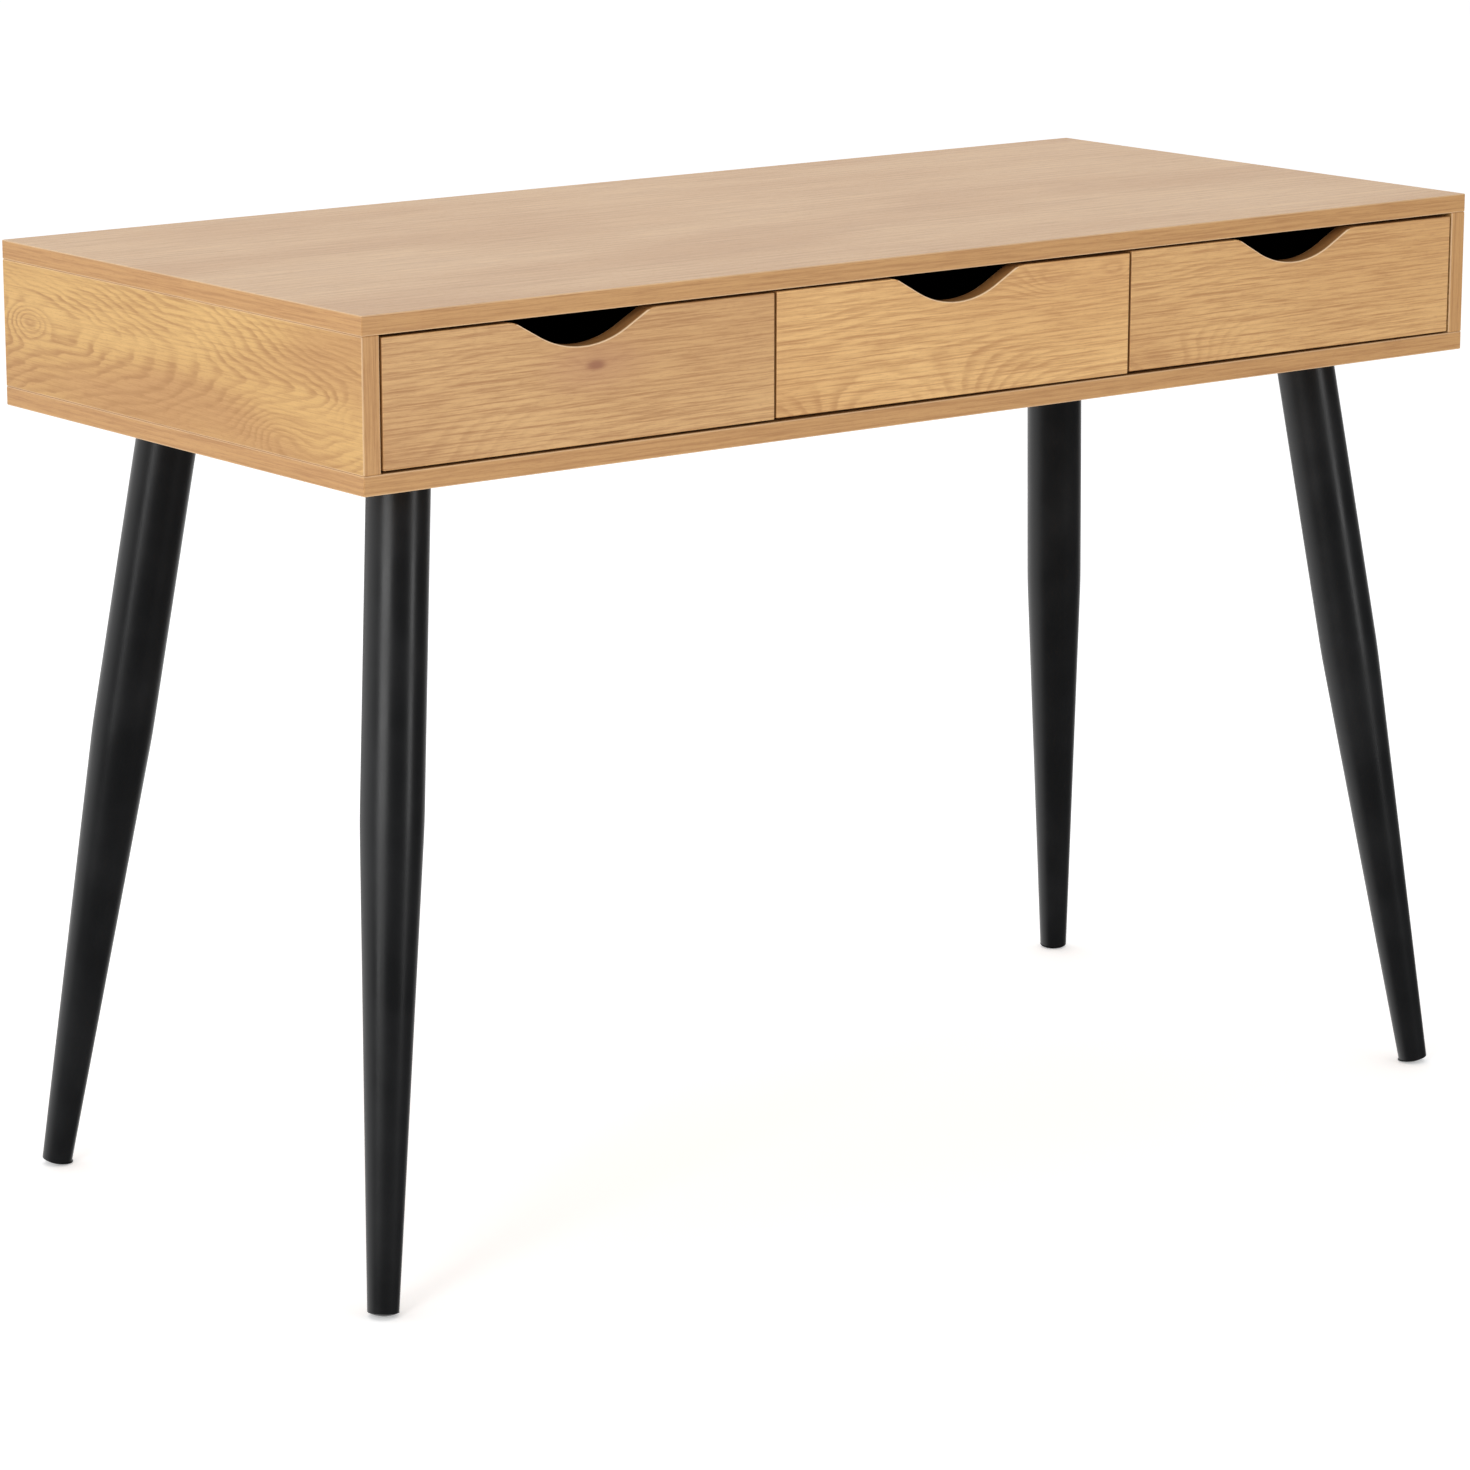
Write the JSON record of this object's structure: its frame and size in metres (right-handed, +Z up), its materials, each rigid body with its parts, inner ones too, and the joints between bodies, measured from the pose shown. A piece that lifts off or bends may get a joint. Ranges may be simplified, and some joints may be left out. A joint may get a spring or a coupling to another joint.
{
  "type": "writing desk with drawers",
  "caption": "Rectangular writing desk with a shallow oak-look carcass, flush drawers with finger notches on roller runners, and splayed tapered black steel legs.",
  "frame": {"origin": "on the floor, under the centre of the desktop", "axes": "+X to the right along the desk's width as seen by the sitter, +Y from the sitter to the back edge, +Z up"},
  "size_m": [1.1, 0.5, 0.75],
  "materials": {
    "oak_foil": "satin oak-look foil on particle board",
    "drawer_board": "matt dark foil on board",
    "hardboard": "matt dark painted hardboard",
    "black_steel": "satin black powder coat",
    "rail_coat": "white epoxy coat",
    "zinc": "zinc plated",
    "nylon": "white nylon",
    "beech": "raw fluted dowel",
    "glide_plastic": "black moulded plastic"
  },
  "bodies": {
    "carcass": {"top_panel": "oak_foil", "bottom_panel": "oak_foil", "left_side_panel": "oak_foil", "right_side_panel": "oak_foil", "left_divider": "oak_foil", "right_divider": "oak_foil", "back_panel": "oak_foil", "carcass_cam_bolts": "zinc", "carcass_cam_discs": "zinc", "carcass_screws": "zinc", "carcass_dowels": "beech", "left_cabinet_rails": "rail_coat", "middle_cabinet_rails": "rail_coat", "right_cabinet_rails": "rail_coat", "cabinet_rail_screws": "zinc", "front_left_leg": "black_steel", "front_right_leg": "black_steel", "back_left_leg": "black_steel", "back_right_leg": "black_steel", "leg_top_plates": "black_steel", "leg_bolts": "zinc", "front_left_glide": "glide_plastic", "front_right_glide": "glide_plastic", "back_left_glide": "glide_plastic", "back_right_glide": "glide_plastic"},
    "left_drawer": {"left_drawer_front": "oak_foil", "left_drawer_side_a": "drawer_board", "left_drawer_side_b": "drawer_board", "left_drawer_back": "drawer_board", "left_drawer_bottom": "hardboard", "left_drawer_rails": "rail_coat", "left_drawer_fasteners": "zinc"},
    "left_bay_roller_a": {"left_bay_roller_a": "nylon"},
    "left_drawer_roller_a": {"left_drawer_roller_a": "nylon"},
    "left_bay_roller_b": {"left_bay_roller_b": "nylon"},
    "left_drawer_roller_b": {"left_drawer_roller_b": "nylon"},
    "middle_drawer": {"middle_drawer_front": "oak_foil", "middle_drawer_side_a": "drawer_board", "middle_drawer_side_b": "drawer_board", "middle_drawer_back": "drawer_board", "middle_drawer_bottom": "hardboard", "middle_drawer_rails": "rail_coat", "middle_drawer_fasteners": "zinc"},
    "middle_bay_roller_a": {"middle_bay_roller_a": "nylon"},
    "middle_drawer_roller_a": {"middle_drawer_roller_a": "nylon"},
    "middle_bay_roller_b": {"middle_bay_roller_b": "nylon"},
    "middle_drawer_roller_b": {"middle_drawer_roller_b": "nylon"},
    "right_drawer": {"right_drawer_front": "oak_foil", "right_drawer_side_a": "drawer_board", "right_drawer_side_b": "drawer_board", "right_drawer_back": "drawer_board", "right_drawer_bottom": "hardboard", "right_drawer_rails": "rail_coat", "right_drawer_fasteners": "zinc"},
    "right_bay_roller_a": {"right_bay_roller_a": "nylon"},
    "right_drawer_roller_a": {"right_drawer_roller_a": "nylon"},
    "right_bay_roller_b": {"right_bay_roller_b": "nylon"},
    "right_drawer_roller_b": {"right_drawer_roller_b": "nylon"}
  },
  "joints": [
    {"name": "left_drawer_slide", "type": "slide", "parent": "carcass", "child": "left_drawer", "axis": [0, -1, 0], "range_m": [0, 0.3]},
    {"name": "left_bay_roller_a_spin", "type": "hinge", "parent": "carcass", "child": "left_bay_roller_a", "pos_m": [-0.52905, -0.217, 0.657], "axis": [1, 0, 0], "continuous": true},
    {"name": "left_drawer_roller_a_spin", "type": "hinge", "parent": "left_drawer", "child": "left_drawer_roller_a", "pos_m": [-0.52905, 0.154, 0.657], "axis": [1, 0, 0], "continuous": true},
    {"name": "left_bay_roller_b_spin", "type": "hinge", "parent": "carcass", "child": "left_bay_roller_b", "pos_m": [-0.19145, -0.217, 0.657], "axis": [1, 0, 0], "continuous": true},
    {"name": "left_drawer_roller_b_spin", "type": "hinge", "parent": "left_drawer", "child": "left_drawer_roller_b", "pos_m": [-0.19145, 0.154, 0.657], "axis": [1, 0, 0], "continuous": true},
    {"name": "middle_drawer_slide", "type": "slide", "parent": "carcass", "child": "middle_drawer", "axis": [0, -1, 0], "range_m": [0, 0.3]},
    {"name": "middle_bay_roller_a_spin", "type": "hinge", "parent": "carcass", "child": "middle_bay_roller_a", "pos_m": [-0.16455, -0.217, 0.657], "axis": [1, 0, 0], "continuous": true},
    {"name": "middle_drawer_roller_a_spin", "type": "hinge", "parent": "middle_drawer", "child": "middle_drawer_roller_a", "pos_m": [-0.16455, 0.154, 0.657], "axis": [1, 0, 0], "continuous": true},
    {"name": "middle_bay_roller_b_spin", "type": "hinge", "parent": "carcass", "child": "middle_bay_roller_b", "pos_m": [0.16455, -0.217, 0.657], "axis": [1, 0, 0], "continuous": true},
    {"name": "middle_drawer_roller_b_spin", "type": "hinge", "parent": "middle_drawer", "child": "middle_drawer_roller_b", "pos_m": [0.16455, 0.154, 0.657], "axis": [1, 0, 0], "continuous": true},
    {"name": "right_drawer_slide", "type": "slide", "parent": "carcass", "child": "right_drawer", "axis": [0, -1, 0], "range_m": [0, 0.3]},
    {"name": "right_bay_roller_a_spin", "type": "hinge", "parent": "carcass", "child": "right_bay_roller_a", "pos_m": [0.19145, -0.217, 0.657], "axis": [1, 0, 0], "continuous": true},
    {"name": "right_drawer_roller_a_spin", "type": "hinge", "parent": "right_drawer", "child": "right_drawer_roller_a", "pos_m": [0.19145, 0.154, 0.657], "axis": [1, 0, 0], "continuous": true},
    {"name": "right_bay_roller_b_spin", "type": "hinge", "parent": "carcass", "child": "right_bay_roller_b", "pos_m": [0.52905, -0.217, 0.657], "axis": [1, 0, 0], "continuous": true},
    {"name": "right_drawer_roller_b_spin", "type": "hinge", "parent": "right_drawer", "child": "right_drawer_roller_b", "pos_m": [0.52905, 0.154, 0.657], "axis": [1, 0, 0], "continuous": true}
  ],
  "couplings": [
    {"joint": "left_bay_roller_a_spin", "follows": "left_drawer_slide", "rad_per_m": 100},
    {"joint": "left_drawer_roller_a_spin", "follows": "left_drawer_slide", "rad_per_m": 100},
    {"joint": "left_bay_roller_b_spin", "follows": "left_drawer_slide", "rad_per_m": 100},
    {"joint": "left_drawer_roller_b_spin", "follows": "left_drawer_slide", "rad_per_m": 100},
    {"joint": "middle_bay_roller_a_spin", "follows": "middle_drawer_slide", "rad_per_m": 100},
    {"joint": "middle_drawer_roller_a_spin", "follows": "middle_drawer_slide", "rad_per_m": 100},
    {"joint": "middle_bay_roller_b_spin", "follows": "middle_drawer_slide", "rad_per_m": 100},
    {"joint": "middle_drawer_roller_b_spin", "follows": "middle_drawer_slide", "rad_per_m": 100},
    {"joint": "right_bay_roller_a_spin", "follows": "right_drawer_slide", "rad_per_m": 100},
    {"joint": "right_drawer_roller_a_spin", "follows": "right_drawer_slide", "rad_per_m": 100},
    {"joint": "right_bay_roller_b_spin", "follows": "right_drawer_slide", "rad_per_m": 100},
    {"joint": "right_drawer_roller_b_spin", "follows": "right_drawer_slide", "rad_per_m": 100}
  ]
}
